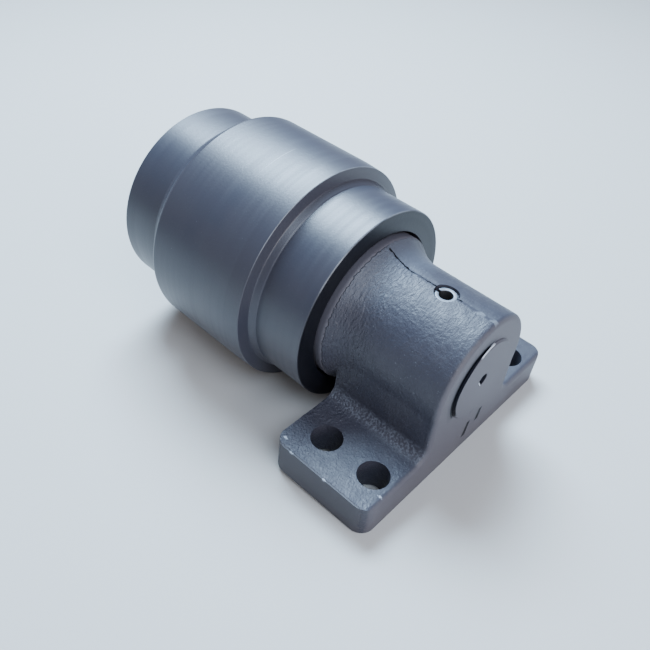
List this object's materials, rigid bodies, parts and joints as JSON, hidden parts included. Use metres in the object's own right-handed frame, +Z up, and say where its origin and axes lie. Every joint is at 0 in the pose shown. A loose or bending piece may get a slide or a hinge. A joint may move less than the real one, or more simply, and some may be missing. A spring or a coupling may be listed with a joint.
{
  "type": "excavator carrier roller",
  "caption": "Plain track carrier roller that turns on a shaft pressed into a cast pedestal with a rectangular bolt-down foot.",
  "frame": {"origin": "centre of the four-hole bolt pattern on the underside of the pedestal's foot", "axes": "+Z up from the mounting face, +Y along the shaft from the pedestal to the roller's outer end, +X along the foot"},
  "size_m": [0.1724, 0.2288, 0.1399],
  "materials": {
    "cast_paint": "semi-gloss slate paint over rough cast skin",
    "roller_paint": "semi-gloss slate paint over turned steel",
    "bare_steel": "machined",
    "seal_iron": "lapped",
    "bronze": "turned",
    "rubber": "matt"
  },
  "bodies": {
    "pedestal": {"bracket": "cast_paint", "shaft": "bare_steel", "shaft_lock_pin": "bare_steel", "shaft_seal_ring": "rubber", "fixed_seal_ring": "seal_iron", "fixed_toric_ring": "rubber", "thrust_plate": "bare_steel", "plate_bolt_1": "bare_steel", "plate_bolt_2": "bare_steel", "plate_bolt_3": "bare_steel", "plate_washer_1": "bare_steel", "plate_washer_2": "bare_steel", "plate_washer_3": "bare_steel"},
    "roller": {"roller_shell": "roller_paint", "front_bushing": "bronze", "rear_bushing": "bronze", "rotating_seal_ring": "seal_iron", "rotating_toric_ring": "rubber", "end_cover": "roller_paint", "cover_seal_ring": "rubber", "cover_snap_ring": "bare_steel", "oil_plug": "bare_steel", "oil_plug_washer": "bronze"}
  },
  "joints": [
    {"name": "roller_spin", "type": "hinge", "parent": "pedestal", "child": "roller", "pos_m": [0, 0.12, 0.05765], "axis": [0, 1, 0], "continuous": true}
  ]
}
